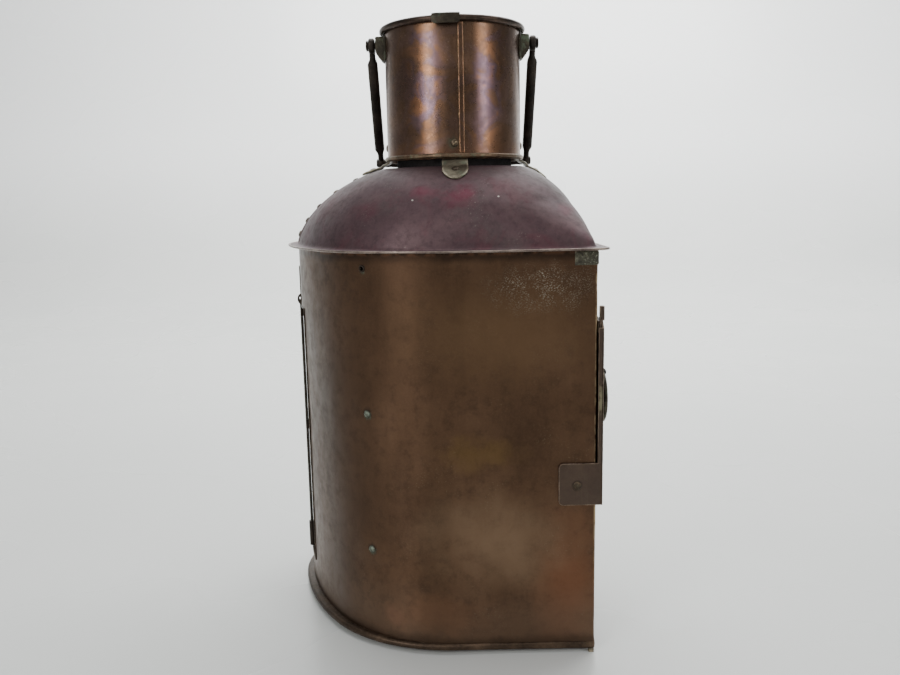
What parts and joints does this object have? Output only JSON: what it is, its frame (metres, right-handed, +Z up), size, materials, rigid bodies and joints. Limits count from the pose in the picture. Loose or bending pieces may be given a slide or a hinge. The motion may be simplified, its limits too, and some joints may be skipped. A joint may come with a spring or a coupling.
{
  "type": "ship lantern",
  "caption": "Quadrant-plan copper side lantern with ribbed lens, hinged hood, vented chimney, folding bail and oil lamp inside.",
  "frame": {"origin": "on the plane the lantern stands on, under the chimney's axis", "axes": "+Z up; +X is the flat wall with the bracket socket, -Y is the plain flat wall, and the lens faces -X +Y"},
  "size_m": [0.2481, 0.2437, 0.4564],
  "materials": {
    "body_copper": "brown patinated copper, satin",
    "hood_copper": "purple-brown patinated copper",
    "chimney_copper": "heat-tinted copper, iridescent",
    "dark_copper": "dark oxidised copper",
    "socket_sheet": "brown copper with bright worn edges",
    "solder": "weathered solder with verdigris",
    "dull_brass": "dull greenish brass",
    "verdigris_brass": "brass with verdigris",
    "dark_iron": "black wrought iron",
    "lens_glass": "moulded ribbed glass",
    "lamp_brass": "aged lamp brass",
    "tinned_sheet": "tinned sheet",
    "sooted_sheet": "sooted sheet, matt",
    "wick_cotton": "woven cotton"
  },
  "bodies": {
    "case": {"base_pan": "body_copper", "base_bead": "dark_copper", "wall_sheet": "body_copper", "corner_foot": "solder", "corner_patch": "solder", "guide_eyelet": "dull_brass", "guide_rivets": "verdigris_brass", "guide_rail": "dark_copper", "bracket_socket": "socket_sheet", "socket_rivets": "socket_sheet", "socket_stop_bar": "socket_sheet", "ring_backplate": "dull_brass", "ring_staple": "dull_brass", "lens": "lens_glass", "lens_frame": "dark_copper", "lens_channels": "dull_brass", "rod_keepers": "dark_copper", "lamp_seat": "tinned_sheet", "reflector": "tinned_sheet", "hinge_leaf_case": "dull_brass", "hinge_pin": "dull_brass", "hinge_rivets": "dull_brass", "hook_stud": "dull_brass"},
    "hood": {"hood_dome": "hood_copper", "hood_rim_wire": "hood_copper", "hood_spigot": "hood_copper", "hood_neck": "sooted_sheet", "hood_seams": "hood_copper", "hood_rivets": "dark_copper", "chimney_shell": "chimney_copper", "chimney_bottom_bead": "chimney_copper", "chimney_top_bead": "chimney_copper", "chimney_seam": "chimney_copper", "rim_clip": "dull_brass", "chimney_baffle": "sooted_sheet", "chimney_straps": "dull_brass", "strap_rivets": "verdigris_brass", "bail_lugs": "dull_brass", "bail_pivots": "dark_iron", "hinge_leaf_hood": "dull_brass", "hood_catch": "dull_brass"},
    "bail": {"bail_arms": "dark_iron", "bail_grip": "dark_iron"},
    "ring": {"ring_pull": "dark_iron"},
    "rod": {"locking_rod": "dark_iron"},
    "hook": {"hood_hook": "dull_brass"},
    "lamp": {"oil_font": "lamp_brass", "burner_collar": "lamp_brass", "burner": "lamp_brass", "flame_deflector": "lamp_brass"},
    "cap": {"filler_cap": "lamp_brass"},
    "wick_spindle": {"wick_knob": "lamp_brass"},
    "wick_strip": {"wick": "wick_cotton"}
  },
  "joints": [
    {"name": "hood_hinge", "type": "hinge", "parent": "case", "child": "hood", "pos_m": [0.0989, 0, 0.289], "axis": [0, 1, 0], "range_deg": [0, 100]},
    {"name": "bail_swing", "type": "hinge", "parent": "hood", "child": "bail", "pos_m": [0, 0, 0.444], "axis": [1, 0, 0], "range_deg": [0, 290]},
    {"name": "ring_swing", "type": "hinge", "parent": "case", "child": "ring", "pos_m": [0.1049, -0.057, 0.2014], "axis": [0, -1, 0], "range_deg": [0, 95]},
    {"name": "rod_lift", "type": "slide", "parent": "case", "child": "rod", "axis": [0, 0, 1], "range_m": [0, 0.02]},
    {"name": "hook_swing", "type": "hinge", "parent": "case", "child": "hook", "pos_m": [-0.00836, 0.13441, 0.268], "axis": [0.2924, 0.9563, 0], "range_deg": [0, 180]},
    {"name": "lamp_lift", "type": "slide", "parent": "case", "child": "lamp", "axis": [0, 0, 1], "range_m": [0, 0.1]},
    {"name": "filler_cap_turn", "type": "hinge", "parent": "lamp", "child": "cap", "pos_m": [-0.032, -0.014, 0.072], "axis": [0, 0, 1], "range_deg": [0, 360]},
    {"name": "wick_knob_turn", "type": "hinge", "parent": "lamp", "child": "wick_spindle", "pos_m": [0, 0.0064, 0.09], "axis": [1, 0, 0], "range_deg": [0, 270]},
    {"name": "wick_raise", "type": "slide", "parent": "lamp", "child": "wick_strip", "axis": [0, 0, 1], "range_m": [0, 0.009]}
  ],
  "couplings": [
    {"joint": "wick_raise", "follows": "wick_knob_turn", "m_per_rad": 0.001867}
  ]
}
